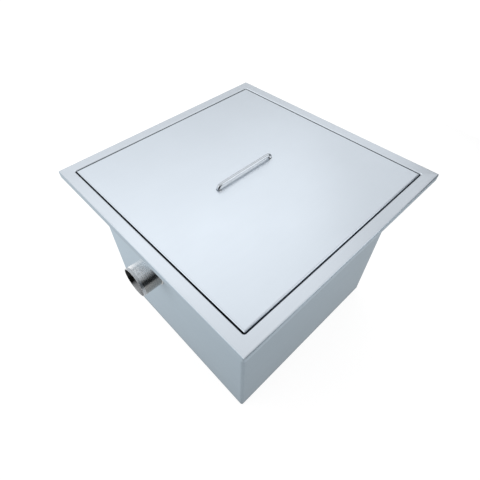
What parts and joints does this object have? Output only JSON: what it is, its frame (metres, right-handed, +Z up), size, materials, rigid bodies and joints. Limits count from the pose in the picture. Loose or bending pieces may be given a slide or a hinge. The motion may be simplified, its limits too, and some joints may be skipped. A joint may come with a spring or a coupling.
{
  "type": "grease trap",
  "caption": "Square stainless steel floor grease trap with a wide flange, a flush lid with a lift-up handle, stub pipes on opposite sides, and a basket and baffles inside.",
  "frame": {"origin": "middle of the tank's underside, on the surface that it stands on", "axes": "+X from the inlet pipe to the outlet pipe, the way the water flows; +Z up, out of the lid"},
  "size_m": [0.409, 0.402, 0.315],
  "materials": {
    "satin_steel": "satin brushed stainless sheet",
    "polished_steel": "polished stainless tube and rod",
    "black_rubber": "matt black rubber strip"
  },
  "bodies": {
    "trap": {"tank_shell": "satin_steel", "top_frame": "satin_steel", "lid_pan": "satin_steel", "lid_stiffener_front": "satin_steel", "lid_stiffener_back": "satin_steel", "outlet_tee": "satin_steel", "strainer_basket": "satin_steel", "basket_rail_front": "satin_steel", "basket_rail_back": "satin_steel", "baffle_plate_first": "satin_steel", "baffle_plate_second": "satin_steel", "guide_first_front": "satin_steel", "guide_first_back": "satin_steel", "guide_second_front": "satin_steel", "guide_second_back": "satin_steel", "inlet_stub": "polished_steel", "outlet_stub": "polished_steel", "tee_cap": "polished_steel", "lid_gasket": "black_rubber"},
    "handle": {"lid_handle": "polished_steel", "handle_stops": "polished_steel"},
    "bail": {"basket_bail": "polished_steel"}
  },
  "joints": [
    {"name": "handle_lift", "type": "slide", "parent": "trap", "child": "handle", "axis": [0, 0, 1], "range_m": [0, 0.035]},
    {"name": "bail_fold", "type": "hinge", "parent": "trap", "child": "bail", "pos_m": [-0.095, 0, 0.1599], "axis": [0, -1, 0], "range_deg": [0, 180]}
  ]
}
